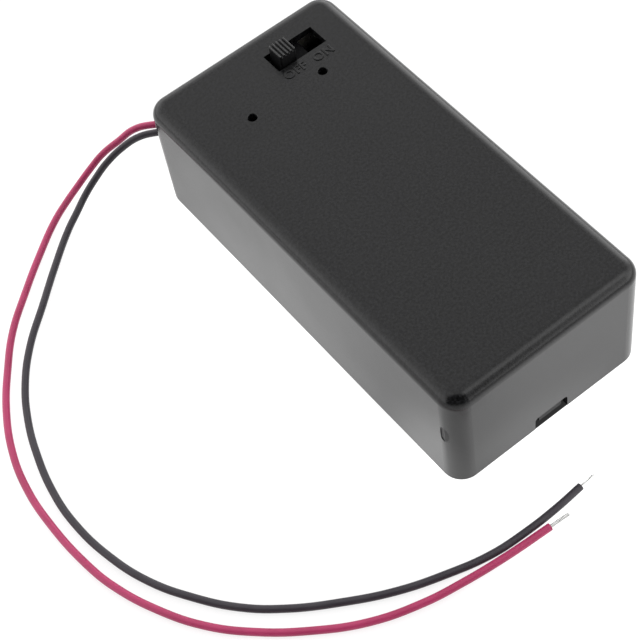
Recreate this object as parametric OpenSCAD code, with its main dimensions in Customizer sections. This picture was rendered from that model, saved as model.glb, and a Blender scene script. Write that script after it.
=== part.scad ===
// Nine-volt battery holder: a moulded case with a slide switch in its top, a bottom lid that slides off,
// two snap contacts on a board, and two free leads.
// Millimetres. The origin is under the middle of the case, +Z is up and +Y points to the switch end.

/* [Case] */
// Length of the case, from the notched end to the switch end
case_length = 69; // [66:0.5:84]
// Width of the case
case_width = 33; // [31.5:0.5:42]
// Height of the case
case_height = 20; // [19.5:0.1:25]
// Radius of the upright corners
corner_r = 3; // [3:0.1:4]
// Radius of the edge round the top
top_edge_r = 2.1; // [1:0.1:2.9]
// Thickness of the long side walls
side_wall = 1.6; // [1.4:0.1:2]
// Thickness of the end walls
end_wall = 1.5; // [1.2:0.1:2]
// Thickness of the top wall
top_wall = 1; // [0.8:0.1:1.6]
// Radius of the upright corners of the hollow
hollow_corner_r = 1.8; // [1.5:0.1:2.4]
// Radius of the edge round the hollow's ceiling
hollow_edge_r = 1.4; // [0.6:0.1:1.4]
// Thickness of the ribs inside the case
rib_thickness = 1.2; // [0.8:0.1:1.6]
// Chamfer round the openings in the top
rim_chamfer = 0.12; // [0.05:0.01:0.3]
// Length of the moulding mark on the left side
mark_length = 3.4; // [2.4:0.1:5]
// Width of the moulding mark
mark_width = 1.3; // [0.8:0.1:1.6]
// Depth of the moulding mark, from the side face
mark_depth = 0.1; // [0.1:0.05:0.5]
// Distance of the moulding mark from the near end
mark_setback = 2.3; // [2:0.1:6]
// Height of the middle of the moulding mark
mark_height = 11; // [8:0.5:14]

/* [Lid] */
// Thickness of the lid's plate
lid_thickness = 1.4; // [1.2:0.1:1.8]
// Thickness of the rails along the lid's edges
rail_thickness = 0.7; // [0.5:0.1:0.8]
// Depth of the rail grooves in the side walls
groove_depth = 0.7; // [0.4:0.1:0.9]
// Height of the lip that closes the foot of the switch end
lip_height = 6.5; // [4:0.5:6.5]
// How far the lip reaches back from the switch end
lip_depth = 2.4; // [2:0.1:3]
// Radius of the lip's top edge
lip_edge_r = 0.25; // [0.1:0.05:0.4]
// Radius of the lip's lower edge
heel_r = 3; // [1:0.1:3]
// Clearance between the lid and the case
slide_gap = 0.12; // [0.08:0.01:0.2]
// Width of the notch in the near end
notch_width = 5.8; // [4:0.2:8]
// Height of the notch
notch_height = 2.5; // [1.9:0.1:3]
// Radius of the notch's upper corners
notch_corner_r = 0.6; // [0.2:0.1:0.7]
// How far the lid's tongue stays behind the end face
tongue_recess = 0.3; // [0.2:0.1:1]
// Length of the lid's tongue
tongue_length = 3; // [2.4:0.1:4]
// Bevel on the tongue's upper edge
tongue_bevel = 0.2; // [0.1:0.1:0.5]
// Room beside the tongue in the notch
tongue_margin = 0.9; // [0.9:0.1:1.2]
// Height of the nail recess below the tongue's front
nail_height = 0.9; // [0.6:0.1:1.1]
// Depth of the nail recess below the tongue's front
nail_depth = 0.9; // [0.4:0.1:1.2]
// Number of thumb grooves under the lid
grip_count = 6; // [3:1:8]
// Length of a thumb groove
grip_length = 12; // [6:1:18]
// Width of a thumb groove
grip_width = 0.8; // [0.5:0.1:1]
// Depth of a thumb groove
grip_depth = 0.35; // [0.2:0.05:0.5]
// Spacing of the thumb grooves
grip_pitch = 1.8; // [1.4:0.1:2.2]

/* [Battery bay] */
// Width of the battery
battery_width = 26.5; // [25:0.1:27]
// Clearance between the battery and each guide rib
battery_gap = 0.25; // [0.1:0.05:0.5]
// Distance of the guide ribs from the ends of the bay
guide_margin = 10; // [6:1:14]
// Depth of the ribs that stop the battery's foot
stop_depth = 2; // [1:0.1:2.5]
// Spacing of the two stop ribs
stop_pitch = 15; // [12:0.5:20]

/* [Contacts] */
// Spacing of the stud and the socket
snap_pitch = 12.7; // [12.5:0.1:13]
// Distance from the switch end to the board's front face
plate_setback = 15.7; // [15:0.1:17]
// Thickness of the board
plate_thickness = 1.2; // [0.8:0.1:1.6]
// Clearance round the board
plate_gap = 0.1; // [0.05:0.05:0.2]
// Depth of the ribs that hold the board's edges
plate_rib_depth = 1.2; // [0.8:0.1:1.3]
// Radius of the rivet shanks
rivet_r = 1.5; // [1.2:0.1:1.7]
// Radius of the hole through a rivet
rivet_bore_r = 1; // [0.6:0.1:1.1]
// Radius of the riveted rim behind the board
rivet_rim_r = 2.2; // [1.9:0.1:2.5]
// Thickness of the rivet's head and rim
rivet_rim = 0.3; // [0.2:0.05:0.4]
// Radial clearance of a rivet in its holes
rivet_gap = 0.03; // [0.01:0.01:0.08]
// Thickness of the feet of the socket and the stud
snap_foot = 0.45; // [0.3:0.05:0.6]
// Radius of the socket's foot
socket_r = 4.2; // [4:0.1:4.6]
// Height of the socket's sprung petals above the board
socket_height = 2.7; // [2.4:0.1:3]
// Thickness of the petals
petal_sheet = 0.35; // [0.25:0.05:0.4]
// How far the petals' waist is drawn in from the rim of the foot
petal_draw = 1; // [0.8:0.05:1.1]
// Height of the petals' waist above the board
waist_height = 2; // [1.8:0.1:2.2]
// Bulge of the petals below their waist
petal_bulge = 0.2; // [0.1:0.05:0.3]
// Height of the petals' bulge above the board
bulge_height = 1.2; // [1:0.1:1.4]
// Flare of the petals at their mouth
petal_flare = 0.25; // [0.1:0.05:0.4]
// Number of petals
petal_count = 6; // [4:1:8]
// Width of the slits between the petals
petal_slit = 0.5; // [0.3:0.1:0.8]
// Radius of the stud's foot
stud_foot_r = 4.2; // [3.8:0.1:4.6]
// Radius of the stud's bulge
stud_r = 2.9; // [2.7:0.05:3]
// Height of the stud above the board
stud_height = 2.9; // [2.6:0.1:3.2]
// Radius of the stud's round rim
stud_rim_r = 1; // [0.8:0.1:1.1]
// How far the stud's neck is drawn in from its bulge
stud_draw = 0.45; // [0.3:0.05:0.6]
// Thickness of the solder tags
tag_thickness = 0.3; // [0.2:0.05:0.5]
// Radius of a tag's ring
tag_ring_r = 2.8; // [2.5:0.1:3.2]
// Width of a tag's tongue
tag_width = 2.4; // [1.8:0.1:2.8]
// Distance from a tag's hole to its solder spot
tag_reach = 5; // [4:0.1:6]
// Radius of a tag's solder spot
tag_spot_r = 1.4; // [1.2:0.1:1.6]

/* [Switch] */
// Distance from the switch end to the middle of the switch
switch_setback = 7; // [6.8:0.1:7.6]
// Distance of the switch from the middle of the case
switch_offset = 6; // [4:0.1:6.2]
// Room left in the slot at each end of the knob's travel
slot_end_gap = 0.7; // [0.4:0.1:1]
// Room left in the slot on each side of the knob
slot_side_gap = 0.3; // [0.2:0.05:0.5]
// Length of the knob along its travel
knob_length = 2.8; // [2.4:0.1:3.2]
// Width of the knob
knob_width = 3; // [2.6:0.1:3.2]
// Height of the knob above the top wall
knob_rise = 2; // [1:0.1:3]
// Radius of the knob's upright corners
knob_corner_r = 0.25; // [0.1:0.05:0.5]
// Travel of the knob, from one terminal to the next
knob_travel = 4.2; // [3.6:0.1:4.4]
// Number of ridges on the knob
ridge_count = 5; // [3:1:6]
// Width of a ridge
ridge_width = 0.3; // [0.2:0.05:0.35]
// Height of a ridge
ridge_height = 0.4; // [0.2:0.05:0.6]
// Length of the slider under the knob
slider_length = 7.6; // [7:0.1:8]
// Width of the slider
slider_width = 5.2; // [4.8:0.1:5.6]
// Clearance between the slider and the switch frame
slider_gap = 0.1; // [0.06:0.01:0.15]
// Height of the switch frame
frame_height = 5; // [4.8:0.1:5.6]
// Thickness of the switch frame's sheet
frame_sheet = 0.3; // [0.2:0.05:0.4]
// Margin of the frame's window round the slot
window_margin = 0.2; // [0.1:0.05:0.3]
// Length of the tabs folded under the base
frame_tab = 1; // [0.6:0.1:1.2]
// Width of the tabs folded under the base
frame_tab_width = 1.4; // [1:0.1:2]
// Spacing of the tabs along the frame
frame_tab_pitch = 8.4; // [6.8:0.1:9]
// Thickness of the switch base
base_thickness = 1.2; // [1:0.1:1.4]
// Clearance of the base in the frame and of the terminals in the base
base_gap = 0.05; // [0.02:0.01:0.08]
// Width of a terminal's leg
terminal_width = 1.4; // [1:0.1:1.8]
// Thickness of a terminal's leg
terminal_thickness = 0.4; // [0.3:0.05:0.5]
// Length of a terminal's leg below the base
terminal_leg = 4; // [3:0.1:5]
// Height of a terminal's head above the base
terminal_head = 0.2; // [0.1:0.05:0.25]
// Length of a terminal's head along the knob's travel
terminal_head_length = 2; // [1.8:0.1:2.4]
// Width of a terminal's head
terminal_head_width = 2.4; // [1.8:0.1:3]
// Height of the contact bridge
clip_height = 0.45; // [0.35:0.05:0.5]
// Thickness of the contact bridge's sheet
clip_sheet = 0.2; // [0.15:0.05:0.3]
// Width of the contact bridge
clip_width = 3.2; // [2.6:0.1:3.6]
// How far the contact bridge reaches past its dimples
clip_margin = 0.2; // [0.1:0.05:0.3]
// Radius of the contact bridge's dimples
dimple_r = 0.5; // [0.4:0.05:0.6]
// Gap between the contact bridge and the terminals
clip_gap = 0.05; // [0.03:0.01:0.1]
// Height of the ribs that seat the switch
seat_height = 3.5; // [2.5:0.1:4]
// Clearance between the switch and its seat
seat_gap = 0.05; // [0.02:0.01:0.1]

/* [Holes] */
// Distance from the switch end to the two round holes
hole_setback = 13.2; // [13.2:0.1:14]
// Radius of the two round holes
hole_r = 0.65; // [0.6:0.05:0.9]
// Distance of the lead exit from the middle of the case
exit_offset = 10.75; // [10.5:0.05:11]
// Height of the lead exit
exit_height = 8.2; // [8:0.1:8.4]
// Clearance of a lead in its exit
exit_gap = 0.15; // [0.1:0.05:0.3]

/* [Leads] */
// Diameter of the leads and of the jumper wire
lead_d = 1.1; // [0.9:0.05:1.15]
// Spacing of the leads in their exit
lead_pitch = 1.5; // [1.4:0.05:1.6]
// Diameter of the bare tinned ends
tip_d = 0.6; // [0.4:0.05:0.7]
// Length of the bare tinned ends
tip_length = 3; // [2:0.5:6]

/* [Hidden] */

$fn = 48;

// How far a cutting shape runs past the face it cuts
cut = 1;
// How far a rib is sunk into the wall that carries it
root = 0.4;

half_length = case_length / 2;
half_width = case_width / 2;
hollow_half_width = half_width - side_wall;
hollow_half_length = half_length - end_wall;
ceiling_z = case_height - top_wall;

lip_y = half_length - lip_depth;
rail_z = lid_thickness - rail_thickness;
tongue_y = tongue_recess - half_length;
// Lowest point of what hangs over the lid's path
clear_z = notch_height + plate_gap;

plate_front_y = half_length - plate_setback;
plate_rear_y = plate_front_y + plate_thickness;
snap_z = (lid_thickness + ceiling_z) / 2;
rivet_grip = plate_thickness + tag_thickness;

exit_r = lead_d / 2 + exit_gap;

switch_y = half_length - switch_setback;
slot_length = knob_length + knob_travel + 2 * slot_end_gap;
slot_width = knob_width + 2 * slot_side_gap;
terminal_pitch = knob_travel;
frame_length = slider_length + knob_travel + 2 * slider_gap;
frame_width = slider_width + 2 * slider_gap;
frame_bottom_z = ceiling_z - frame_height;
base_top_z = frame_bottom_z + base_thickness;
slider_bottom_z = base_top_z + terminal_head + clip_gap + clip_height;
slider_top_z = ceiling_z - frame_sheet - slider_gap;

// The leads' routes, from the solder joint through the exit, down to the table and along it
red_route = [
    [10.2, 27.7, 11.5], [10.2, 28.7, 11.5], [9, 30.2, 11], [6.5, 31, 10.5], [3, 30.5, 10], [-1, 29.5, 9.5],
    [-5, 28.5, 9], [-8, 29, 8.5], [-9.5, 30.5, 8.2], [-10, 32.5, 8.2], [-10, 34.5, 8.2], [-11, 37.5, 8.2],
    [-13.5, 40, 8], [-16, 42, 7.2], [-18.5, 43, 5.7], [-21.5, 44, 3.9], [-24, 44, 2.6], [-27, 43.5, 1.4],
    [-30, 42.5, 0.8], [-33, 41, 0.6], [-38.5, 37, 0.6], [-44, 32.5, 0.6], [-49, 28, 0.6], [-53, 23, 0.6],
    [-57, 17, 0.6], [-60, 10.5, 0.6], [-61.5, 4.5, 0.6], [-62, -2, 0.6], [-61.5, -11, 0.6],
    [-60.5, -16, 0.6], [-58, -22.5, 0.6], [-54.5, -28.5, 0.6], [-50, -33.5, 0.6], [-44.5, -38, 0.6],
    [-38, -42, 0.6], [-31, -44.5, 0.6], [-25.5, -45.6, 0.6], [-18.5, -46.5, 0.6], [-11.5, -47, 0.6]
];
black_route = [
    [-6.35, 20.3, 15], [-6.35, 21.5, 15], [-7, 24, 13.5], [-9, 27.5, 11], [-11, 30.5, 9], [-11.5, 32.5, 8.2],
    [-11.5, 34.5, 8.2], [-12.5, 37, 8.2], [-14.2, 38.5, 8], [-16.5, 40, 7.5], [-19, 41, 6.3],
    [-22, 41.5, 4.7], [-24.5, 41.5, 3.1], [-27, 41, 1.8], [-30, 39.5, 1], [-32.5, 38, 0.7],
    [-38, 33.5, 0.6], [-43, 29, 0.6], [-48.5, 24, 0.6], [-52.5, 19, 0.6], [-55.5, 13.5, 0.6],
    [-57.5, 8, 0.6], [-59, 1.5, 0.6], [-59.4, -4.5, 0.6], [-58.5, -12, 0.6], [-56.5, -18.5, 0.6],
    [-53.5, -24, 0.6], [-49.5, -29.4, 0.6],
    [-45, -33.5, 0.6], [-39, -37.5, 0.6], [-32.5, -41, 0.6], [-26, -43.4, 0.6], [-20, -45, 0.6],
    [-14.5, -45.5, 0.6], [-9, -45.5, 0.6], [-4.5, -45.2, 0.6]
];
// Number of flats round a wire
tube_sides = 8;

// The jumper runs from the socket's tag to the middle terminal, and leaves both of them straight
jumper_lead = [0, 1.2, 0];
jumper_start = [snap_pitch / 2, plate_rear_y + tag_thickness, snap_z + tag_reach];
jumper_end = [switch_offset, switch_y - terminal_thickness / 2, frame_bottom_z - terminal_leg / 2];
jumper_middle = (jumper_start + jumper_end) / 2;
jumper_route = [
    jumper_start, jumper_start + jumper_lead, jumper_middle, jumper_end - jumper_lead, jumper_end
];

// Section of a wall's outer edge, from the corner's axis to the outer face, round at the top
module edge_section(height, corner, edge) {
    square([corner, height - edge]);
    square([corner - edge, height]);
    translate([corner - edge, height - edge])
        intersection() {
            circle(edge);
            square(edge);
        }
}

// Upright box on z = 0 with round upright corners and a round top edge
module rounded_box(length, width, height, corner, edge) {
    translate([corner - width / 2, corner - length / 2, 0])
        cube([width - 2 * corner, length - 2 * corner, height]);
    for (turn = [0:3]) {
        across = turn % 2 == 0 ? width : length;
        along = turn % 2 == 0 ? length : width;
        rotate([0, 0, 90 * turn])
            translate([across / 2 - corner, along / 2 - corner, 0]) {
                rotate([90, 0, 0])
                    linear_extrude(along - 2 * corner)
                        edge_section(height, corner, edge);
                rotate_extrude(angle = 90)
                    edge_section(height, corner, edge);
            }
    }
}

// Box centred on x = 0 and y = 0, standing on z = 0
module post(size) {
    translate([-size[0] / 2, -size[1] / 2, 0])
        cube(size);
}

module hollow() {
    length = 2 * hollow_half_length;
    width = 2 * hollow_half_width;
    translate([0, 0, -cut])
        rounded_box(length, width, ceiling_z + cut, hollow_corner_r, hollow_edge_r);
}

// Upright rib on each side wall, with its near face at y
module wall_ribs(depth, y) {
    for (side = [-1, 1])
        translate([side * (hollow_half_width - (depth - root) / 2), y + rib_thickness / 2, clear_z])
            post([depth + root, rib_thickness, ceiling_z + root - clear_z]);
}

module battery_ribs() {
    guide_depth = hollow_half_width - battery_width / 2 - battery_gap;
    wall_ribs(guide_depth, guide_margin - hollow_half_length);
    wall_ribs(guide_depth, plate_front_y - guide_margin);
    for (side = [-1, 1])
        translate([side * stop_pitch / 2, (stop_depth - root) / 2 - hollow_half_length, clear_z])
            post([rib_thickness, stop_depth + root, ceiling_z + root - clear_z]);
}

module plate_ribs() {
    wall_ribs(plate_rib_depth, plate_front_y - plate_gap - rib_thickness);
    wall_ribs(plate_rib_depth, plate_rear_y + plate_gap);
}

module switch_seat() {
    reach_x = frame_length / 2 + frame_sheet + seat_gap + rib_thickness / 2;
    reach_y = frame_width / 2 + frame_sheet + seat_gap + rib_thickness / 2;
    rib_height = seat_height + root;
    translate([switch_offset, switch_y, ceiling_z - seat_height])
        for (side = [-1, 1]) {
            translate([side * reach_x, 0, 0])
                post([rib_thickness, frame_width, rib_height]);
            translate([0, side * reach_y, 0])
                post([slider_length, rib_thickness, rib_height]);
        }
}

// Way of the lid: the grooves of its rails, and the mouth at the switch end where the hollow's corners narrow
module lid_way() {
    groove_half_width = hollow_half_width + groove_depth;
    translate([-groove_half_width, hollow_corner_r - hollow_half_length, rail_z - slide_gap])
        cube([2 * groove_half_width, case_length, rail_thickness + 2 * slide_gap]);
    translate([-hollow_half_width, 0, -cut])
        cube([2 * hollow_half_width, half_length, lid_thickness + slide_gap + cut]);
}

module lip_gap() {
    translate([-half_width - cut, lip_y - slide_gap, -cut])
        cube([case_width + 2 * cut, lip_depth + slide_gap + cut, lip_height + slide_gap + cut]);
}

// Notch in the near end for the lid's tongue, with round upper corners
module notch() {
    corner_x = notch_width / 2 - notch_corner_r;
    corner_z = notch_height - notch_corner_r;
    translate([0, end_wall + cut - half_length, 0])
        rotate([90, 0, 0])
            linear_extrude(end_wall + 2 * cut) {
                translate([-notch_width / 2, -cut])
                    square([notch_width, corner_z + cut]);
                translate([-corner_x, 0])
                    square([2 * corner_x, notch_height]);
                for (side = [-1, 1])
                    translate([side * corner_x, corner_z])
                        circle(notch_corner_r);
            }
}

// Shallow oval mark on the left side
module moulding_mark() {
    straight = mark_length - mark_width;
    translate([mark_depth - half_width, mark_setback - half_length, mark_height])
        rotate([0, -90, 0])
            linear_extrude(mark_depth + cut) {
                square([straight, mark_width], center = true);
                for (end = [-1, 1])
                    translate([end * straight / 2, 0])
                        circle(d = mark_width);
            }
}

// Slot for the knob, with a chamfered rim
module knob_slot() {
    translate([switch_offset, switch_y, ceiling_z - cut])
        post([slot_length, slot_width, top_wall + 2 * cut]);
    translate([switch_offset, switch_y, case_height])
        hull() {
            translate([0, 0, -rim_chamfer - cut])
                post([slot_length, slot_width, cut]);
            post([slot_length + 2 * rim_chamfer, slot_width + 2 * rim_chamfer, cut]);
        }
}

// Round holes over the two contacts, with chamfered rims
module contact_holes() {
    for (side = [-1, 1])
        translate([side * snap_pitch / 2, half_length - hole_setback, 0]) {
            translate([0, 0, ceiling_z - cut])
                cylinder(r = hole_r, h = top_wall + 2 * cut);
            translate([0, 0, case_height - rim_chamfer])
                cylinder(r1 = hole_r, r2 = hole_r + 2 * rim_chamfer, h = 2 * rim_chamfer);
        }
}

module lead_exit() {
    translate([-exit_offset, half_length + cut, exit_height])
        rotate([90, 0, 0]) {
            for (side = [-1, 1])
                translate([side * lead_pitch / 2, 0, 0])
                    cylinder(r = exit_r, h = end_wall + 2 * cut);
            translate([-lead_pitch / 2, -exit_r, 0])
                cube([lead_pitch, 2 * exit_r, end_wall + 2 * cut]);
        }
}

module case_body() {
    color("#2c2c2e")
        difference() {
            union() {
                difference() {
                    rounded_box(case_length, case_width, case_height, corner_r, top_edge_r);
                    hollow();
                }
                battery_ribs();
                plate_ribs();
                switch_seat();
            }
            lid_way();
            lip_gap();
            notch();
            moulding_mark();
            knob_slot();
            contact_holes();
            lead_exit();
        }
}

module lid_plate() {
    half = hollow_half_width - slide_gap;
    near = slide_gap - hollow_half_length;
    intersection() {
        translate([0, near + case_length, 0])
            rounded_box(2 * case_length, 2 * half, lid_thickness, hollow_corner_r - slide_gap, lip_edge_r);
        translate([-half_width, near, 0])
            cube([case_width, lip_y + root - near, lid_thickness]);
    }
}

module lid_rails() {
    half = hollow_half_width + groove_depth - slide_gap;
    near = hollow_corner_r - hollow_half_length + slide_gap;
    translate([-half, near, rail_z])
        cube([2 * half, lip_y + root - near, rail_thickness]);
}

module lid_lip() {
    difference() {
        intersection() {
            rounded_box(case_length, case_width, lip_height, corner_r, lip_edge_r);
            translate([-half_width, lip_y, 0])
                cube([case_width, lip_depth, lip_height]);
        }
        translate([0, 0, lid_thickness + cut])
            hollow();
    }
}

// Tongue in the notch, with a recess for a finger nail below its front
module lid_tongue() {
    top = notch_height - slide_gap;
    width = notch_width - 2 * tongue_margin;
    back = tongue_y + tongue_length;
    nail_y = tongue_y + nail_depth;
    translate([-width / 2, 0, 0])
        rotate([90, 0, 90])
            linear_extrude(width)
                polygon([
                    [nail_y, 0], [back, 0], [back, top], [tongue_y + tongue_bevel, top],
                    [tongue_y, top - tongue_bevel], [tongue_y, nail_height], [nail_y, nail_height]
                ]);
}

// What is cut away to round the lip's lower edge
module heel_cut() {
    translate([-half_width - cut, half_length - heel_r, heel_r])
        rotate([90, 0, 90])
            linear_extrude(case_width + 2 * cut)
                difference() {
                    translate([0, -heel_r - cut])
                        square(heel_r + cut);
                    circle(heel_r);
                }
}

module lid_grip() {
    for (i = [0:grip_count - 1])
        translate([0, lip_y - grip_pitch * (i + 1), -cut])
            post([grip_length, grip_width, grip_depth + cut]);
}

module lid() {
    color("#2c2c2e")
        difference() {
            union() {
                lid_plate();
                lid_rails();
                lid_lip();
                lid_tongue();
            }
            heel_cut();
            lid_grip();
        }
}

module contact_plate() {
    half = hollow_half_width - plate_gap;
    top = ceiling_z - plate_gap;
    bevel = hollow_edge_r + plate_gap;
    color("#3a2a20")
        translate([0, plate_rear_y, 0])
            rotate([90, 0, 0])
                linear_extrude(plate_thickness)
                    difference() {
                        polygon([
                            [-half, clear_z], [half, clear_z], [half, top - bevel],
                            [half - bevel, top], [bevel - half, top], [-half, top - bevel]
                        ]);
                        for (side = [-1, 1])
                            translate([side * snap_pitch / 2, snap_z])
                                circle(rivet_r + rivet_gap);
                    }
}

// Places a contact on the board: its own +Z points to the battery, and its z = 0 is the board's front face
module on_plate(side) {
    translate([side * snap_pitch / 2, plate_front_y, snap_z])
        rotate([90, 0, 0])
            children();
}

module snap_socket() {
    waist_r = socket_r - petal_draw;
    bulge_r = waist_r + petal_bulge;
    mouth_r = waist_r + petal_flare;
    color("#c9c9c4")
        on_plate(1)
            difference() {
                rotate_extrude()
                    polygon([
                        [rivet_r + rivet_gap, 0], [socket_r, 0], [socket_r, snap_foot],
                        [bulge_r, bulge_height], [waist_r, waist_height], [mouth_r, socket_height],
                        [mouth_r - petal_sheet, socket_height], [waist_r - petal_sheet, waist_height],
                        [bulge_r - petal_sheet, bulge_height], [socket_r - 2 * petal_sheet, snap_foot],
                        [rivet_r + rivet_gap, snap_foot]
                    ]);
                for (i = [0:petal_count - 1])
                    rotate([0, 0, 360 * i / petal_count])
                        translate([0, -petal_slit / 2, snap_foot])
                            cube([socket_r + cut, petal_slit, socket_height]);
            }
}

module socket_rivet() {
    head_z = snap_foot + rivet_rim;
    tail_z = -rivet_grip - rivet_rim;
    color("#c9c9c4")
        on_plate(1)
            rotate_extrude()
                polygon([
                    [rivet_bore_r, head_z], [rivet_rim_r, head_z], [rivet_rim_r, snap_foot],
                    [rivet_r, snap_foot], [rivet_r, -rivet_grip], [rivet_rim_r, -rivet_grip],
                    [rivet_rim_r, tail_z], [rivet_bore_r, tail_z]
                ]);
}

// Half section of the stud: its foot, its neck and round-rimmed head, and its riveted tail
module stud_section() {
    crown_r = stud_r - stud_rim_r;
    rim_z = stud_height - stud_rim_r;
    square([stud_foot_r, snap_foot]);
    square([stud_r - stud_draw, rim_z]);
    square([crown_r, stud_height]);
    translate([crown_r, rim_z])
        circle(stud_rim_r);
    translate([0, -rivet_grip])
        square([rivet_r, rivet_grip]);
    translate([0, -rivet_grip - rivet_rim])
        square([rivet_rim_r, rivet_rim]);
}

module snap_stud() {
    tail = rivet_grip + rivet_rim;
    color("#c9c9c4")
        on_plate(-1)
            difference() {
                rotate_extrude()
                    stud_section();
                translate([0, 0, -tail - cut])
                    cylinder(r = rivet_bore_r, h = tail + stud_height - snap_foot + cut);
            }
}

module solder_tag(side) {
    color("#d8cfa8")
        on_plate(side)
            translate([0, 0, -rivet_grip])
                linear_extrude(tag_thickness)
                    difference() {
                        union() {
                            circle(tag_ring_r);
                            translate([-tag_width / 2, 0])
                                square([tag_width, tag_reach]);
                            translate([0, tag_reach])
                                circle(tag_spot_r);
                        }
                        circle(rivet_r + rivet_gap);
                    }
}

module socket_tag() {
    solder_tag(1);
}

module stud_tag() {
    solder_tag(-1);
}

// Places a piece of the switch: its own origin is under the middle of the switch, at the case's z = 0
module in_switch(z) {
    translate([switch_offset, switch_y, z])
        children();
}

// Tabs that run down from the frame's long walls and fold in under the base
module frame_tabs() {
    wall_y = (frame_width + frame_sheet) / 2;
    for (end = [-1, 1], side = [-1, 1])
        translate([end * frame_tab_pitch / 2, side * wall_y, -frame_sheet]) {
            post([frame_tab_width, frame_sheet, 2 * frame_sheet]);
            translate([0, side * (frame_sheet - frame_tab) / 2, 0])
                post([frame_tab_width, frame_tab, frame_sheet]);
        }
}

module switch_frame() {
    window_length = slot_length + 2 * window_margin;
    window_width = slot_width + 2 * window_margin;
    color("#b9bbbd")
        in_switch(frame_bottom_z) {
            difference() {
                post([frame_length + 2 * frame_sheet, frame_width + 2 * frame_sheet, frame_height]);
                translate([0, 0, -cut])
                    post([frame_length, frame_width, frame_height - frame_sheet + cut]);
                translate([0, 0, frame_height - frame_sheet - cut])
                    post([window_length, window_width, frame_sheet + 2 * cut]);
            }
            frame_tabs();
        }
}

module switch_base() {
    color("#4a3524")
        in_switch(frame_bottom_z)
            difference() {
                post([frame_length - 2 * base_gap, frame_width - 2 * base_gap, base_thickness]);
                for (i = [-1:1])
                    translate([i * terminal_pitch, 0, -cut])
                        post([
                            terminal_width + 2 * base_gap, terminal_thickness + 2 * base_gap,
                            base_thickness + 2 * cut
                        ]);
            }
}

module terminal(i) {
    color("#d8cfa8")
        in_switch(frame_bottom_z)
            translate([i * terminal_pitch, 0, 0]) {
                translate([0, 0, base_thickness])
                    post([terminal_head_length, terminal_head_width, terminal_head]);
                translate([0, 0, -terminal_leg])
                    post([terminal_width, terminal_thickness, terminal_leg + base_thickness + terminal_head]);
            }
}

module terminal_off() {
    terminal(-1);
}

module terminal_common() {
    terminal(0);
}

module terminal_on() {
    terminal(1);
}

// Outline of the knob, with round corners
module knob_outline() {
    corner_x = knob_length / 2 - knob_corner_r;
    corner_y = knob_width / 2 - knob_corner_r;
    translate([-knob_length / 2, -corner_y])
        square([knob_length, 2 * corner_y]);
    translate([-corner_x, -knob_width / 2])
        square([2 * corner_x, knob_width]);
    for (end = [-1, 1], side = [-1, 1])
        translate([end * corner_x, side * corner_y])
            circle(knob_corner_r);
}

// Round-topped ridges across the knob, on z = 0
module knob_ridges() {
    ridge_pitch = (knob_length - ridge_width) / (ridge_count - 1);
    crest_z = ridge_height - ridge_width / 2;
    for (i = [0:ridge_count - 1])
        translate([ridge_pitch * i - (knob_length - ridge_width) / 2, 0, 0]) {
            translate([0, 0, -root])
                post([ridge_width, knob_width, crest_z + root]);
            translate([0, knob_width / 2, crest_z])
                rotate([90, 0, 0])
                    cylinder(d = ridge_width, h = knob_width);
        }
}

module switch_knob() {
    stem_top = case_height + knob_rise - ridge_height;
    color("#1f1f21")
        in_switch(0)
            translate([-knob_travel / 2, 0, 0]) {
                translate([0, 0, slider_bottom_z])
                    post([slider_length, slider_width, slider_top_z - slider_bottom_z]);
                translate([0, 0, slider_bottom_z])
                    linear_extrude(stem_top - slider_bottom_z)
                        knob_outline();
                translate([0, 0, stem_top])
                    intersection() {
                        knob_ridges();
                        translate([0, 0, -root])
                            linear_extrude(ridge_height + root)
                                knob_outline();
                    }
            }
}

module switch_clip() {
    bridge_length = terminal_pitch + 2 * (dimple_r + clip_margin);
    color("#c8a45c")
        in_switch(slider_bottom_z - clip_height)
            translate([-knob_travel / 2, 0, 0]) {
                translate([0, 0, clip_height - clip_sheet])
                    post([bridge_length, clip_width, clip_sheet]);
                for (end = [-1, 1])
                    translate([end * terminal_pitch / 2, 0, 0])
                        cylinder(r = dimple_r, h = clip_height);
            }
}

function unit(v) = v / norm(v);

// Direction of a route at its point i
function heading(route, i) = unit(route[min(i + 1, len(route) - 1)] - route[max(i - 1, 0)]);

// Ring of points round a route at its point i
function ring(route, i, r) =
    let (ahead = heading(route, i), side = unit(cross([0, 0, 1], ahead)), up = cross(ahead, side))
    [for (k = [0:tube_sides - 1])
        let (turn = 360 * (k + 0.5) / tube_sides)
        route[i] + r * (cos(turn) * side + sin(turn) * up)];

// Wire of round section along a route
module tube(route, d) {
    last = len(route) - 1;
    points = [for (i = [0:last]) each ring(route, i, d / 2)];
    start_cap = [for (k = [0:tube_sides - 1]) k];
    end_cap = [for (k = [tube_sides - 1:-1:0]) last * tube_sides + k];
    walls = [
        for (i = [0:last - 1], k = [0:tube_sides - 1])
            let (next = (k + 1) % tube_sides, here = i * tube_sides, there = here + tube_sides)
            each [[here + k, there + k, there + next], [here + k, there + next, here + next]]
    ];
    polyhedron(points, concat([start_cap, end_cap], walls));
}

// Bare end that carries a route on in a straight line
module bare_end(route) {
    last = len(route) - 1;
    ahead = heading(route, last);
    tube([route[last], route[last] + tip_length * ahead], tip_d);
}

module jumper_wire() {
    color("#b3324f")
        tube(jumper_route, lead_d);
}

module red_lead() {
    color("#b3324f")
        tube(red_route, lead_d);
}

module red_lead_tip() {
    color("#c8c8c8")
        bare_end(red_route);
}

module black_lead() {
    color("#333338")
        tube(black_route, lead_d);
}

module black_lead_tip() {
    color("#c8c8c8")
        bare_end(black_route);
}

case_body();
lid();
contact_plate();
snap_socket();
socket_rivet();
snap_stud();
socket_tag();
stud_tag();
switch_frame();
switch_base();
terminal_off();
terminal_common();
terminal_on();
switch_knob();
switch_clip();
jumper_wire();
red_lead();
red_lead_tip();
black_lead();
black_lead_tip();
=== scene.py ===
import math

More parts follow.
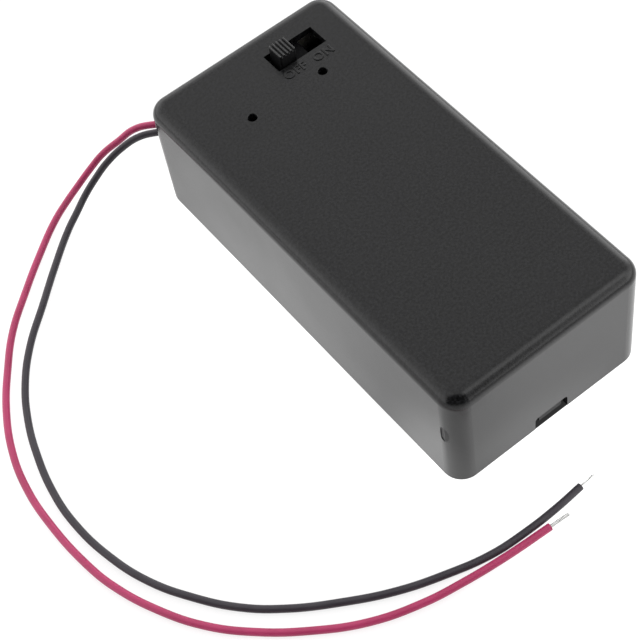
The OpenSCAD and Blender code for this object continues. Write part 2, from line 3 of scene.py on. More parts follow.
import bpy
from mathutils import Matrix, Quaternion, Vector


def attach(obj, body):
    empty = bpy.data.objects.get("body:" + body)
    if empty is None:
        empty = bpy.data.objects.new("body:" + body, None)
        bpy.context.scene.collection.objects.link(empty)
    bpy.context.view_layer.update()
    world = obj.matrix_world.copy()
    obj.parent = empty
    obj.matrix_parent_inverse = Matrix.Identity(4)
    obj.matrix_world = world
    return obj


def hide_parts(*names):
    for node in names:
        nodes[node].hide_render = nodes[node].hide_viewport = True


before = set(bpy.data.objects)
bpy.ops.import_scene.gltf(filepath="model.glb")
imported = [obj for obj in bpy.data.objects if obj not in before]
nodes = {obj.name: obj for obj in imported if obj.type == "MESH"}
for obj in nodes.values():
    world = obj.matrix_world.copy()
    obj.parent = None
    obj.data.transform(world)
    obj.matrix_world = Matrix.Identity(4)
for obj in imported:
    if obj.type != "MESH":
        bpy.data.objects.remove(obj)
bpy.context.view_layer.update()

MM = 0.001
WHITE = (1, 1, 1, 1)

# The camera stands at the near left of the case and is tilted like the photograph's.
CAMERA_AZIMUTH = math.radians(-28.428)
CAMERA_ELEVATION = math.radians(55.6)
CAMERA_ROLL = math.radians(-11.337)
CAMERA_DISTANCE = 255.642 * MM
CAMERA_AIM = Vector((-12.81, 1.48, -3.29)) * MM
CAMERA_LENS = 98.243
CAMERA_NEAREST = 0.01
CAMERA_FARTHEST = 20

# The case, as the CAD has it.
CASE_TOP = 20 * MM

# The leads, with their routes as in the part's source, in millimetres.
LEAD_DIAMETER = 1.1 * MM
LINE_STEPS = 6
TUBE_STEPS = 5
WELD_DISTANCE = 1e-6
CUT_ROUND = 0.12 * MM
CUT_ROUND_STEPS = 2
# A face of a wire with more corners than this is one of its cut ends.
TUBE_FACE_CORNERS = 4
WIRE_SMOOTH_ANGLE = 40
RED_ROUTE = [
    (10.2, 27.7, 11.5), (10.2, 28.7, 11.5), (9, 30.2, 11), (6.5, 31, 10.5), (3, 30.5, 10), (-1, 29.5, 9.5),
    (-5, 28.5, 9), (-8, 29, 8.5), (-9.5, 30.5, 8.2), (-10, 32.5, 8.2), (-10, 34.5, 8.2), (-11, 37.5, 8.2),
    (-13.5, 40, 8), (-16, 42, 7.2), (-18.5, 43, 5.7), (-21.5, 44, 3.9), (-24, 44, 2.6), (-27, 43.5, 1.4),
    (-30, 42.5, 0.8), (-33, 41, 0.6), (-38.5, 37, 0.6), (-44, 32.5, 0.6), (-49, 28, 0.6), (-53, 23, 0.6),
    (-57, 17, 0.6), (-60, 10.5, 0.6), (-61.5, 4.5, 0.6), (-62, -2, 0.6), (-61.5, -11, 0.6),
    (-60.5, -16, 0.6), (-58, -22.5, 0.6), (-54.5, -28.5, 0.6), (-50, -33.5, 0.6), (-44.5, -38, 0.6),
    (-38, -42, 0.6), (-31, -44.5, 0.6), (-25.5, -45.6, 0.6), (-18.5, -46.5, 0.6), (-11.5, -47, 0.6),
]
BLACK_ROUTE = [
    (-6.35, 20.3, 15), (-6.35, 21.5, 15), (-7, 24, 13.5), (-9, 27.5, 11), (-11, 30.5, 9), (-11.5, 32.5, 8.2),
    (-11.5, 34.5, 8.2), (-12.5, 37, 8.2), (-14.2, 38.5, 8), (-16.5, 40, 7.5), (-19, 41, 6.3),
    (-22, 41.5, 4.7), (-24.5, 41.5, 3.1), (-27, 41, 1.8), (-30, 39.5, 1), (-32.5, 38, 0.7),
    (-38, 33.5, 0.6), (-43, 29, 0.6), (-48.5, 24, 0.6), (-52.5, 19, 0.6), (-55.5, 13.5, 0.6),
    (-57.5, 8, 0.6), (-59, 1.5, 0.6), (-59.4, -4.5, 0.6), (-58.5, -12, 0.6), (-56.5, -18.5, 0.6),
    (-53.5, -24, 0.6), (-49.5, -29.4, 0.6), (-45, -33.5, 0.6), (-39, -37.5, 0.6), (-32.5, -41, 0.6),
    (-26, -43.4, 0.6), (-20, -45, 0.6), (-14.5, -45.5, 0.6), (-9, -45.5, 0.6), (-4.5, -45.2, 0.6),
]
JUMPER_ROUTE = [
    (6.35, 20.3, 15.2), (6.35, 21.5, 15.2), (6.175, 23.8, 13.6), (6, 26.1, 12), (6, 27.3, 12),
]

# Bare ends: (angle in degrees, lay radius, thickness, length, splay) of each strand.
STRAND_STEPS = 8
STRAND_TUBE_STEPS = 3
STRAND_TWIST = math.radians(200)
STRAND_ROOT = 0.4 * MM
STRAND_SMOOTH_ANGLE = 50
RED_STRANDS = [(0, 0, 0.17 * MM, 3.4 * MM, 0)] + [
    (60 * i, 0.16 * MM, 0.17 * MM, (3.3 + 0.12 * (i % 3)) * MM, 0) for i in range(6)
]
BLACK_STRANDS = [
    (120 * i, 0.08 * MM, 0.14 * MM, (2.7 + 0.3 * i) * MM, 0.03 * MM) for i in range(3)
]

# Moulded words in front of the slot.
LETTER_SIZE = 2.1 * MM
LETTER_HEIGHT = 0.09 * MM
LETTER_ROUND = 0.03 * MM
LETTER_ROUND_STEPS = 1
LETTER_SPACING = 1.05
LETTER_WEIGHT = 0.02 * MM
LETTER_SMOOTH_ANGLE = 30
OFF_MIDDLE = (3.5 * MM, 24.0 * MM)
ON_MIDDLE = (8.5 * MM, 23.9 * MM)

# Solder joints. Each step of the curve goes in by a share of the radius and up by a share of the rise.
SOLDER_SIDES = 20
SOLDER_FOOT = 0.08 * MM
SOLDER_CURVE = [(0.2, 0.2), (0.14, 0.25), (0.09, 0.3), (0.05, 0.25)]
SOLDER_SMOOTH_ANGLE = 60
# The curve rises from the face whose normal has more than this cosine to the wire's direction.
SOLDER_FACING = 0.9
SOLDER_SPOTS = [
    # name, spot, direction of the wire, radius and rise, in millimetres
    ("solder_stud_tag", (-6.35, 20.3, 15), (0, 1, 0), 1.2, 0.7),
    ("solder_socket_tag", (6.35, 20.3, 15.2), (0, 1, 0), 1.2, 0.7),
    ("solder_common", (6, 27.3, 12), (0, -1, 0), 0.75, 0.4),
    ("solder_on", (10.2, 27.7, 11.5), (0, 1, 0), 0.75, 0.4),
]

# Light tent: levels of radiance, and the cosines at which its parts begin and end.
WALL_FULL = 0.25
WALL_END = 0.8
WALL_LEVEL = 1.7
CLOTH_LEVEL = 1.06
PANELS = [
    # aim, cosine where it begins, cosine where it is full, level
    ((0.36, -0.43, 0.83), 0.95, 0.99, 1.2),
    ((-0.8, 0.5, 0.35), 0.38, 0.75, 0.3),
    ((0.8, 0.5, 0.25), 0.86, 0.97, 1.3),
    ((0.5, -0.8, 0.33), 0.72, 0.9, 0.9),
]
OPENING_AIM = (-0.48, -0.76, 0.42)
OPENING_FULL = 0.68
OPENING_END = 0.58
OPENING_LEVEL = 0.06

# Light table: it dims far away, and glows along the left side, at the notched end and at the far left.
FLOOR_SIZE = 8
FLOOR_GAP = 0.02 * MM
TABLE_TINT = (0.24, 0.26)
TABLE_ROUGHNESS = 0.9
TABLE_SHINE = 0.1
TABLE_LEVEL = 0.79
TABLE_NEAR = 80 * MM
TABLE_FAR = 160 * MM
TABLE_FAR_SHARE = 0.55
GLOWS = [
    # place, shares of a length that count along x, y and z, reach, level
    ((-24 * MM, 14 * MM, 0), (1, 0.33, 1), 18 * MM, 0.32),
    ((12 * MM, -60 * MM, 0), (1, 1, 1), 45 * MM, 0.8),
    ((-17.5 * MM, 10 * MM, 0), (1, 0.13, 1), 4.5 * MM, 0.22),
    ((-18 * MM, -28 * MM, 0), (1, 0.6, 1), 7 * MM, 0.55),
    ((-3 * MM, -35.5 * MM, 0), (0.22, 1, 1), 4.5 * MM, 0.4),
    ((-120 * MM, 70 * MM, 0), (1, 1, 1), 110 * MM, 0.7),
]
# The shaded place in the notch.
SHADE_MIDDLE = (0, -32.4 * MM, 0)
SHADE_HALF_WIDTH = 5 * MM
SHADE_HALF_LENGTH = 2 * MM
SHADE_EDGE = 0.1 * MM
SHADE_LEVEL = 0.02

# Noises of the finishes: (scale per metre, detail).
TABLE_CLOUDS = (3, 2)
PLASTIC_SPECKS = (2600, 2)
PLASTIC_CLOUDS = (90, 3)
PLASTIC_GRAIN_DETAIL = 2
INSULATION_CLOUDS = (220, 3)
INSULATION_BLOOM = (700, 2)
INSULATION_MARKS = (2600, 2)
BOARD_FIBRES = (1300, 4)
BOARD_CLOUDS = (500, 2)
METAL_CLOUDS = (260, 3)
METAL_LINE_DETAIL = 3
# The values of a noise between which a number, or a colour, runs from its first to its last.
NUMBER_SPAN = (0.3, 0.7)
COLOUR_SPAN = (0.35, 0.65)
# Roughness, from smoothest to roughest, and depth of relief.
INSULATION_ROUGHNESS = (0.32, 0.45)
INSULATION_RELIEF = 0.004 * MM
BOARD_FIBRE_SHARES = (1, 1, 0.35)
BOARD_ROUGHNESS = (0.4, 0.6)
BOARD_RELIEF = 0.008 * MM
METAL_RELIEF = 0.002 * MM

# Painted shade by gloss along a piece: the slider's shine is turned down in the slot, standing for the shade
# there, and is full at the knob's ribs, and the lid's shine is turned down at the tongue, standing for the
# shade in the notch.
SLIDER_PAINTED_SHADE_TOP = 18.8 * MM
KNOB_BRIGHT = 21 * MM
SLIDER_SHADED_SHINE = 0.02
KNOB_SHINE = 0.5
TONGUE_PAINTED_SHADE = -33.9 * MM
LID_BRIGHT = -32.5 * MM
TONGUE_SHADED_SHINE = 0.09
LID_SHINE = 0.5
# The moulding mark on the left side is dull.
MARK_MIDDLE = (-16.5 * MM, -32.2 * MM, 11 * MM)
MARK_SHARES = (1, 1, 0.45)
MARK_DULL = 0.6 * MM
MARK_END = 1.1 * MM
MARK_ROUGHNESS = 0.5
# Painted shade at the rims of the two small holes in the top: the rims lose their shine and read dark, like
# the holes.
HOLE_SPOTS = [(-6.35 * MM, 21.3 * MM, CASE_TOP), (6.35 * MM, 21.3 * MM, CASE_TOP)]
RIM_PAINTED_SHADE = 0.7 * MM
RIM_END = 0.75 * MM
CASE_SHINE = 0.5


def select_only(piece):
    """Selects one object and makes it the active one."""
    bpy.ops.object.select_all(action="DESELECT")
    piece.select_set(True)
    bpy.context.view_layer.objects.active = piece


def make_mesh(piece):
    """Turns a curve or text object into a mesh."""
    select_only(piece)
    bpy.ops.object.convert(target="MESH")
    return bpy.context.view_layer.objects.active


def select_faces(piece, wanted):
    """Opens a piece in edit mode with only the faces selected that wanted says yes to."""
    select_only(piece)
    bpy.ops.object.mode_set(mode="EDIT")
    bpy.ops.mesh.select_mode(type="FACE")
    bpy.ops.mesh.select_all(action="DESELECT")
    bpy.ops.object.mode_set(mode="OBJECT")
    for face in piece.data.polygons:
        face.select = wanted(face)
    bpy.ops.object.mode_set(mode="EDIT")


def settle(piece):
    """Puts a piece's place into its mesh."""
    select_only(piece)
    bpy.ops.object.transform_apply(location=True, rotation=True, scale=True)


def smooth(piece, degrees):
    """Shades a piece smooth, with an edge left sharp where its faces meet at more than an angle."""
    select_only(piece)
    bpy.ops.object.shade_smooth_by_angle(angle=math.radians(degrees))


def in_metres(route):
    """Points of a route that is written in millimetres."""
    return [Vector(point) * MM for point in route]


def dress(piece, finish):
    """Gives a piece one finish."""
    piece.data.materials.clear()
    piece.data.materials.append(finish)


# Camera, light and floor


def place_camera():
    """Camera at the photograph's viewing angle."""
    back = Vector((
        math.sin(CAMERA_AZIMUTH) * math.cos(CAMERA_ELEVATION),
        -math.cos(CAMERA_AZIMUTH) * math.cos(CAMERA_ELEVATION),
        math.sin(CAMERA_ELEVATION),
    ))
    bpy.ops.object.camera_add(location=CAMERA_AIM + back * CAMERA_DISTANCE)
    camera = bpy.context.object
    camera.rotation_mode = "QUATERNION"
    camera.rotation_quaternion = (-back).to_track_quat("-Z", "Y") @ Quaternion((0, 0, 1), CAMERA_ROLL)
    camera.data.lens = CAMERA_LENS
    camera.data.clip_start = CAMERA_NEAREST
    camera.data.clip_end = CAMERA_FARTHEST
    bpy.context.scene.camera = camera


def eased(tree, value, first, last, at_first, at_last):
    """Number that runs smoothly from one level to another as a value passes from first to last."""
    node = tree.nodes.new("ShaderNodeMapRange")
    node.interpolation_type = "SMOOTHSTEP"
    node.inputs["From Min"].default_value = first
    node.inputs["From Max"].default_value = last
    node.inputs["To Min"].default_value = at_first
    node.inputs["To Max"].default_value = at_last
    tree.links.new(value, node.inputs["Value"])
    return node.outputs["Result"]


def combined(tree, operation, first, second):
    """Two numbers put together by a sum, product, least or greatest."""
    node = tree.nodes.new("ShaderNodeMath")
    node.operation = operation
    tree.links.new(first, node.inputs[0])
    tree.links.new(second, node.inputs[1])
    return node.outputs["Value"]


def along(tree, place, aim):
    """How far a place lies along an aim, or for a direction, the cosine of its angle to the aim."""
    node = tree.nodes.new("ShaderNodeVectorMath")
    node.operation = "DOT_PRODUCT"
    node.inputs[1].default_value = Vector(aim).normalized()
    tree.links.new(place, node.inputs[0])
    return node.outputs["Value"]


def light_room():
    """Light tent: pale cloth, brighter low down, with soft panels and a dark opening at the near left."""
    world = bpy.data.worlds.new("tent")
    world.use_nodes = True
    tree = world.node_tree
    direction = tree.nodes.new("ShaderNodeTexCoord").outputs["Generated"]
    height = along(tree, direction, (0, 0, 1))
    level = eased(tree, height, WALL_FULL, WALL_END, WALL_LEVEL, CLOTH_LEVEL)
    for aim, begins, full, extra in PANELS:
        panel = eased(tree, along(tree, direction, aim), begins, full, 0, extra)
        level = combined(tree, "ADD", level, panel)
    opening = eased(tree, along(tree, direction, OPENING_AIM), OPENING_END, OPENING_FULL, 1, OPENING_LEVEL)
    level = combined(tree, "MULTIPLY", level, opening)
    tree.links.new(level, tree.nodes["Background"].inputs["Strength"])
    tree.nodes["Background"].inputs["Color"].default_value = WHITE
    bpy.context.scene.world = world
    bpy.context.scene.view_settings.view_transform = "Standard"


def lay_floor(finish):
    """Level floor, just under the case."""
    bpy.ops.mesh.primitive_plane_add(size=FLOOR_SIZE, location=(0, 0, -FLOOR_GAP))
    floor = bpy.context.object
    floor.name = "floor"
    dress(floor, finish)


# Finishes


def inside(finish):
    """Node tree, shader and Object coordinates of a finish."""
    tree = finish.node_tree
    return tree, tree.nodes["Principled BSDF"], tree.nodes["Texture Coordinate"].outputs["Object"]


def new_finish(name):
    """Material with its node tree, its shader, and the Object coordinates that its patterns read."""
    finish = bpy.data.materials.new(name)
    finish.use_nodes = True
    finish.node_tree.nodes.new("ShaderNodeTexCoord")
    return finish, *inside(finish)


def noise(tree, place, scale, detail):
    """Cloudy noise."""
    node = tree.nodes.new("ShaderNodeTexNoise")
    node.inputs["Scale"].default_value = scale
    node.inputs["Detail"].default_value = detail
    tree.links.new(place, node.inputs["Vector"])
    return node.outputs["Fac"]


def stretched(tree, place, factors):
    """Coordinates scaled along each axis, for a grain with a direction."""
    node = tree.nodes.new("ShaderNodeMapping")
    node.inputs["Scale"].default_value = factors
    tree.links.new(place, node.inputs["Vector"])
    return node.outputs["Vector"]


def between(tree, value, low, high):
    """Number that runs from low to high as a noise rises."""
    node = tree.nodes.new("ShaderNodeMapRange")
    node.inputs["From Min"].default_value, node.inputs["From Max"].default_value = NUMBER_SPAN
    node.inputs["To Min"].default_value = low
    node.inputs["To Max"].default_value = high
    tree.links.new(value, node.inputs["Value"])
    return node.outputs["Result"]


def colours(tree, value, first, second):
    """Colour that runs from the first to the second as a noise rises."""
    node = tree.nodes.new("ShaderNodeValToRGB")
    for stop, position, colour in zip(node.color_ramp.elements, COLOUR_SPAN, (first, second)):
        stop.position = position
        stop.color = (*colour, 1)
    tree.links.new(value, node.inputs["Fac"])
    return node.outputs["Color"]


def relief(tree, shader, height, depth):
    """Bump of a depth in metres."""
    node = tree.nodes.new("ShaderNodeBump")
    node.inputs["Strength"].default_value = 1
    node.inputs["Distance"].default_value = depth
    tree.links.new(height, node.inputs["Height"])
    tree.links.new(node.outputs["Normal"], shader.inputs["Normal"])


def distance_to(tree, place, spot, shares):
    """Distance from a spot, with lengths along each axis counted at a share of their size."""
    node = tree.nodes.new("ShaderNodeVectorMath")
    node.operation = "DISTANCE"
    tree.links.new(stretched(tree, place, shares), node.inputs[0])
    node.inputs[1].default_value = [length * share for length, share in zip(spot, shares)]
    return node.outputs["Value"]


def open_floor(tree, place):
    """One on the open floor and the shade's level in the notch."""
    offset = tree.nodes.new("ShaderNodeVectorMath")
    offset.operation = "SUBTRACT"
    tree.links.new(place, offset.inputs[0])
    offset.inputs[1].default_value = SHADE_MIDDLE
    size = tree.nodes.new("ShaderNodeVectorMath")
    size.operation = "ABSOLUTE"
    tree.links.new(offset.outputs["Vector"], size.inputs[0])
    sides = tree.nodes.new("ShaderNodeSeparateXYZ")
    tree.links.new(size.outputs["Vector"], sides.inputs["Vector"])
    past_side, past_end = (
        eased(tree, sides.outputs[axis], half, half + SHADE_EDGE, SHADE_LEVEL, 1)
        for axis, half in (("X", SHADE_HALF_WIDTH), ("Y", SHADE_HALF_LENGTH))
    )
    return combined(tree, "MAXIMUM", past_side, past_end)


def light_table():
    """White acrylic lit from below, dark in the notch."""
    finish, tree, shader, place = new_finish("light_table")
    lit = open_floor(tree, place)
    tint = between(tree, noise(tree, place, *TABLE_CLOUDS), *TABLE_TINT)
    tree.links.new(combined(tree, "MULTIPLY", tint, lit), shader.inputs["Base Color"])
    level = eased(
        tree, distance_to(tree, place, (0, 0, 0), (1, 1, 1)), TABLE_NEAR, TABLE_FAR,
        TABLE_LEVEL, TABLE_LEVEL * TABLE_FAR_SHARE,
    )
    for spot, shares, reach, extra in GLOWS:
        glow = eased(tree, distance_to(tree, place, spot, shares), 0, reach, extra, 0)
        level = combined(tree, "ADD", level, glow)
    tree.links.new(combined(tree, "MULTIPLY", level, lit), shader.inputs["Emission Strength"])
    shader.inputs["Emission Color"].default_value = WHITE
    shader.inputs["Roughness"].default_value = TABLE_ROUGHNESS
    shader.inputs["Specular IOR Level"].default_value = TABLE_SHINE
    return finish


def moulded_plastic(name, dark, light, smoothest, roughest, grain, grain_depth, index):
    """Black moulded plastic with a fine spark-eroded grain and faint clouding of its gloss."""
    finish, tree, shader, place = new_finish(name)
    tint = colours(tree, noise(tree, place, *PLASTIC_SPECKS), dark, light)
    gloss = between(tree, noise(tree, place, *PLASTIC_CLOUDS), smoothest, roughest)
    tree.links.new(tint, shader.inputs["Base Color"])
    tree.links.new(gloss, shader.inputs["Roughness"])
    relief(tree, shader, noise(tree, place, grain, PLASTIC_GRAIN_DETAIL), grain_depth)
    shader.inputs["IOR"].default_value = index
    return finish


def shade_by_shine_along(finish, axis, first, last, at_first, at_last):
    """Painted shade: lets the shine of a finish change between two places along an axis, turned down where
    the piece stands in shade.
    """
    tree, shader, place = inside(finish)
    shine = eased(tree, along(tree, place, axis), first, last, at_first, at_last)
    tree.links.new(shine, shader.inputs["Specular IOR Level"])


def dull_spot(finish, spot, shares, full, end, roughness):
    """Dulls a finish within a distance of a spot."""
    tree, shader, place = inside(finish)
    gloss = shader.inputs["Roughness"]
    dull = eased(tree, distance_to(tree, place, spot, shares), full, end, roughness, 0)
    tree.links.new(combined(tree, "MAXIMUM", gloss.links[0].from_socket, dull), gloss)


def painted_shade_rims(finish, spots, full, end, shine):
    """Painted shade: takes the shine of a finish away within a distance of some spots, and leaves the rest
    at one level.
    """
    tree, shader, place = inside(finish)
    levels = [eased(tree, distance_to(tree, place, spot, (1, 1, 1)), full, end, 0, shine) for spot in spots]
    level = levels[0]
    for other in levels[1:]:
        level = combined(tree, "MINIMUM", level, other)
    tree.links.new(level, shader.inputs["Specular IOR Level"])


def soft_insulation(name, dark, light, index):
    """Soft extruded insulation: an even colour with a slight bloom and faint drawing marks."""
    finish, tree, shader, place = new_finish(name)
    tint = colours(tree, noise(tree, place, *INSULATION_CLOUDS), dark, light)
    gloss = between(tree, noise(tree, place, *INSULATION_BLOOM), *INSULATION_ROUGHNESS)
    tree.links.new(tint, shader.inputs["Base Color"])
    tree.links.new(gloss, shader.inputs["Roughness"])
    relief(tree, shader, noise(tree, place, *INSULATION_MARKS), INSULATION_RELIEF)
    shader.inputs["IOR"].default_value = index
    return finish


def pressed_board(name, dark, light):
    """Brown pressed board with short fibres."""
    finish, tree, shader, place = new_finish(name)
    fibres = noise(tree, stretched(tree, place, BOARD_FIBRE_SHARES), *BOARD_FIBRES)
    tint = colours(tree, fibres, dark, light)
    gloss = between(tree, noise(tree, place, *BOARD_CLOUDS), *BOARD_ROUGHNESS)
    tree.links.new(tint, shader.inputs["Base Color"])
    tree.links.new(gloss, shader.inputs["Roughness"])
    relief(tree, shader, fibres, BOARD_RELIEF)
    return finish


def plated_metal(name, dark, light, smoothest, roughest, grain, factors):
    """Plated sheet metal with fine rolling or drawing lines."""
    finish, tree, shader, place = new_finish(name)
    lines = noise(tree, stretched(tree, place, factors), grain, METAL_LINE_DETAIL)
    tint = colours(tree, noise(tree, place, *METAL_CLOUDS), dark, light)
    gloss = between(tree, lines, smoothest, roughest)
    tree.links.new(tint, shader.inputs["Base Color"])
    tree.links.new(gloss, shader.inputs["Roughness"])
    relief(tree, shader, lines, METAL_RELIEF)
    shader.inputs["Metallic"].default_value = 1
    return finish


# Pieces


def smooth_line(name, route):
    """Open curve through a route's points."""
    line = bpy.data.curves.new(name, "CURVE")
    line.dimensions = "3D"
    line.resolution_u = LINE_STEPS
    spline = line.splines.new("BEZIER")
    spline.bezier_points.add(len(route) - 1)
    for point, place in zip(spline.bezier_points, route):
        point.co = place
        point.handle_left_type = "AUTO"
        point.handle_right_type = "AUTO"
    piece = bpy.data.objects.new(name, line)
    bpy.context.scene.collection.objects.link(piece)
    return piece


def thicken(line, diameter, steps):
    """Turns a curve into a round bar with closed ends, as a mesh."""
    line.data.bevel_depth = diameter / 2
    line.data.bevel_resolution = steps
    line.data.use_fill_caps = True
    return make_mesh(line)


def wire(name, route, diameter):
    """Insulated wire along a route, with its cut ends rounded off. Gives the piece and its centre line."""
    centre = make_mesh(smooth_line(name + "_centre", route))
    path = [vertex.co.copy() for vertex in centre.data.vertices]
    bpy.data.objects.remove(centre)
    piece = thicken(smooth_line(name, route), diameter, TUBE_STEPS)
    bpy.ops.object.mode_set(mode="EDIT")
    bpy.ops.mesh.select_all(action="SELECT")
    bpy.ops.mesh.remove_doubles(threshold=WELD_DISTANCE)
    bpy.ops.mesh.normals_make_consistent(inside=False)
    bpy.ops.object.mode_set(mode="OBJECT")
    select_faces(piece, lambda face: len(face.vertices) > TUBE_FACE_CORNERS)
    bpy.ops.mesh.bevel(offset=CUT_ROUND, segments=CUT_ROUND_STEPS, affect="EDGES")
    bpy.ops.object.mode_set(mode="OBJECT")
    smooth(piece, WIRE_SMOOTH_ANGLE)
    return piece, path


def bare_strands(name, path, strands):
    """Twisted tinned strands at the cut end of a wire, given its centre line."""
    end = path[-1]
    ahead = (end - path[-3]).normalized()
    side = ahead.cross(Vector((0, 0, 1))).normalized()
    up = side.cross(ahead)
    parts = []
    for i, (angle, lay, thickness, length, splay) in enumerate(strands):
        route = []
        for step in range(STRAND_STEPS + 1):
            share = step / STRAND_STEPS
            turn = math.radians(angle) + STRAND_TWIST * share
            reach = lay + splay * share * share
            round_point = side * (math.cos(turn) * reach) + up * (math.sin(turn) * reach)
            route.append(end + ahead * (length * share - STRAND_ROOT) + round_point)
        parts.append(thicken(smooth_line(name + "_" + str(i), route), thickness, STRAND_TUBE_STEPS))
    bpy.ops.object.select_all(action="DESELECT")
    for part in parts:
        part.select_set(True)
    bpy.context.view_layer.objects.active = parts[0]
    bpy.ops.object.join()
    piece = bpy.context.object
    piece.name = name
    smooth(piece, STRAND_SMOOTH_ANGLE)
    return piece


def moulded_word(name, word, middle):
    """Raised moulded letters on the top."""
    bpy.ops.object.select_all(action="DESELECT")
    bpy.ops.object.text_add(location=(*middle, CASE_TOP))
    text = bpy.context.object
    text.name = name
    text.data.body = word
    text.data.size = LETTER_SIZE
    text.data.align_x = "CENTER"
    text.data.align_y = "CENTER"
    text.data.extrude = LETTER_HEIGHT
    text.data.bevel_depth = LETTER_ROUND
    text.data.bevel_resolution = LETTER_ROUND_STEPS
    text.data.offset = LETTER_WEIGHT
    text.data.space_character = LETTER_SPACING
    piece = make_mesh(text)
    settle(piece)
    smooth(piece, LETTER_SMOOTH_ANGLE)
    return piece


def solder_joint(name, spot, normal, radius, rise):
    """Solder that climbs from a tag or terminal up the end of a wire."""
    bpy.ops.object.select_all(action="DESELECT")
    bpy.ops.mesh.primitive_cylinder_add(
        vertices=SOLDER_SIDES, radius=radius, depth=2 * SOLDER_FOOT, location=spot,
        rotation=Vector((0, 0, 1)).rotation_difference(normal).to_euler(),
    )
    piece = bpy.context.object
    piece.name = name
    settle(piece)
    select_faces(piece, lambda face: face.normal.dot(normal) > SOLDER_FACING)
    for inward, climb in SOLDER_CURVE:
        bpy.ops.mesh.inset(thickness=inward * radius, depth=climb * rise)
    bpy.ops.object.mode_set(mode="OBJECT")
    smooth(piece, SOLDER_SMOOTH_ANGLE)
    return piece


def fit(piece, finish, slot, *stood_for):
    """Gives a new piece its finish, and lets it ride on the case in place of the nodes named. The slot is
    not used.
    """
    dress(piece, finish)
    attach(piece, "case")
    if stood_for:
        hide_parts(*stood_for)


place_camera()
light_room()
lay_floor(light_table())

case_look = {
    "dark": (0.001, 0.001, 0.0012), "light": (0.011, 0.011, 0.0118), "smoothest": 0.2, "roughest": 0.26,
    "grain": 4200, "grain_depth": 0.005 * MM, "index": 1.4,
}
case_plastic = moulded_plastic("case_plastic", **case_look)
dull_spot(case_plastic, MARK_MIDDLE, MARK_SHARES, MARK_DULL, MARK_END, MARK_ROUGHNESS)
# Painted shade: the rims of the holes in the top lose their shine.
painted_shade_rims(case_plastic, HOLE_SPOTS, RIM_PAINTED_SHADE, RIM_END, CASE_SHINE)
lid_plastic = moulded_plastic("lid_plastic", **case_look)
# Painted shade: the lid's shine is turned down at the tongue in the notch.
shade_by_shine_along(lid_plastic, (0, 1, 0), TONGUE_PAINTED_SHADE, LID_BRIGHT, TONGUE_SHADED_SHINE, LID_SHINE)
switch_plastic = moulded_plastic(
    "switch_plastic", dark=(0.006, 0.006, 0.0065), light=(0.009, 0.009, 0.0095), smoothest=0.28,
    roughest=0.36, grain=5200, grain_depth=0.002 * MM, index=1.45,
)
# Painted shade: the slider's shine is turned down in the slot.
shade_by_shine_along(switch_plastic, (0, 0, 1), SLIDER_PAINTED_SHADE_TOP, KNOB_BRIGHT, SLIDER_SHADED_SHINE, KNOB_SHINE)
red_insulation = soft_insulation(
    "red_insulation", dark=(0.398, 0.036, 0.112), light=(0.458, 0.043, 0.134), index=1.42,
)
black_insulation = soft_insulation(
    "black_insulation", dark=(0.039, 0.034, 0.042), light=(0.047, 0.042, 0.05), index=1.38,
)
board = pressed_board("board", dark=(0.085, 0.045, 0.022), light=(0.155, 0.088, 0.045))
snap_metal = plated_metal(
    "snap_metal", dark=(0.66, 0.65, 0.61), light=(0.74, 0.73, 0.70), smoothest=0.16, roughest=0.3,
    grain=900, factors=(1, 6, 1),
)
tag_metal = plated_metal(
    "tag_metal", dark=(0.66, 0.60, 0.46), light=(0.76, 0.70, 0.55), smoothest=0.25, roughest=0.42,
    grain=900, factors=(1, 1, 5),
)
frame_steel = plated_metal(
    "frame_steel", dark=(0.52, 0.53, 0.55), light=(0.62, 0.63, 0.64), smoothest=0.25, roughest=0.45,
    grain=900, factors=(5, 1, 1),
)
clip_metal = plated_metal(
    "clip_metal", dark=(0.64, 0.45, 0.20), light=(0.74, 0.56, 0.29), smoothest=0.2, roughest=0.35,
    grain=900, factors=(1, 5, 1),
)
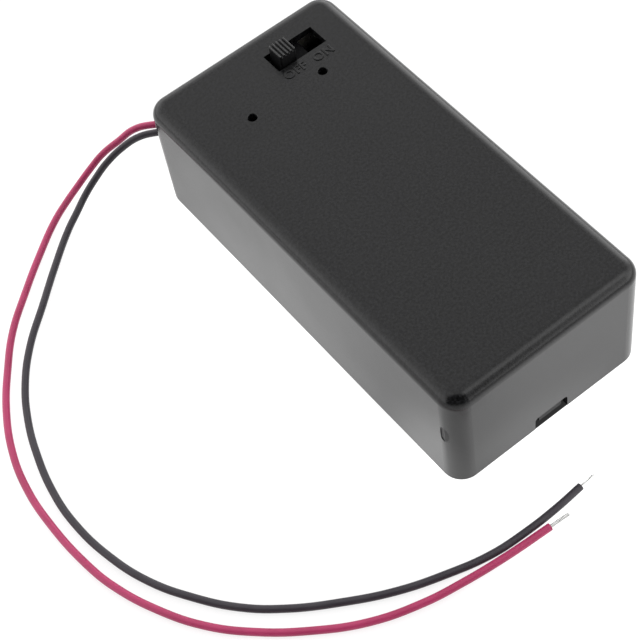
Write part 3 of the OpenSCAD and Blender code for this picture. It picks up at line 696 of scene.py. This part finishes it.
tinned_wire = plated_metal(
    "tinned_wire", dark=(0.60, 0.60, 0.59), light=(0.74, 0.74, 0.73), smoothest=0.25, roughest=0.45,
    grain=2600, factors=(1, 1, 1),
)
solder = plated_metal(
    "solder", dark=(0.56, 0.56, 0.57), light=(0.68, 0.68, 0.69), smoothest=0.18, roughest=0.4,
    grain=1500, factors=(1, 1, 1),
)

for node, finish in (
    ("case_body", case_plastic), ("lid", lid_plastic), ("contact_plate", board), ("snap_socket", snap_metal),
    ("socket_rivet", snap_metal), ("snap_stud", snap_metal), ("socket_tag", tag_metal),
    ("stud_tag", tag_metal), ("switch_frame", frame_steel), ("switch_base", switch_plastic),
    ("terminal_off", tag_metal), ("terminal_common", tag_metal), ("terminal_on", tag_metal),
    ("switch_knob", switch_plastic), ("switch_clip", clip_metal), ("jumper_wire", red_insulation),
    ("red_lead", red_insulation), ("red_lead_tip", tinned_wire), ("black_lead", black_insulation),
    ("black_lead_tip", tinned_wire),
):
    dress(nodes[node], finish)

red_lead, red_path = wire("red_lead_wire", in_metres(RED_ROUTE), LEAD_DIAMETER)
fit(red_lead, red_insulation, "red_insulation", "red_lead")
black_lead, black_path = wire("black_lead_wire", in_metres(BLACK_ROUTE), LEAD_DIAMETER)
fit(black_lead, black_insulation, "black_insulation", "black_lead")
jumper, _ = wire("jumper_wire_bent", in_metres(JUMPER_ROUTE), LEAD_DIAMETER)
fit(jumper, red_insulation, "red_insulation", "jumper_wire")

red_tip = bare_strands("red_lead_strands", red_path, RED_STRANDS)
fit(red_tip, tinned_wire, "tinned_wire", "red_lead_tip")
black_tip = bare_strands("black_lead_strands", black_path, BLACK_STRANDS)
fit(black_tip, tinned_wire, "tinned_wire", "black_lead_tip")

for name, word, middle in (("word_off", "OFF", OFF_MIDDLE), ("word_on", "ON", ON_MIDDLE)):
    fit(moulded_word(name, word, middle), case_plastic, "case_plastic")

for name, spot, normal, radius, rise in SOLDER_SPOTS:
    piece = solder_joint(name, Vector(spot) * MM, Vector(normal), radius * MM, rise * MM)
    fit(piece, solder, "tag_metal")
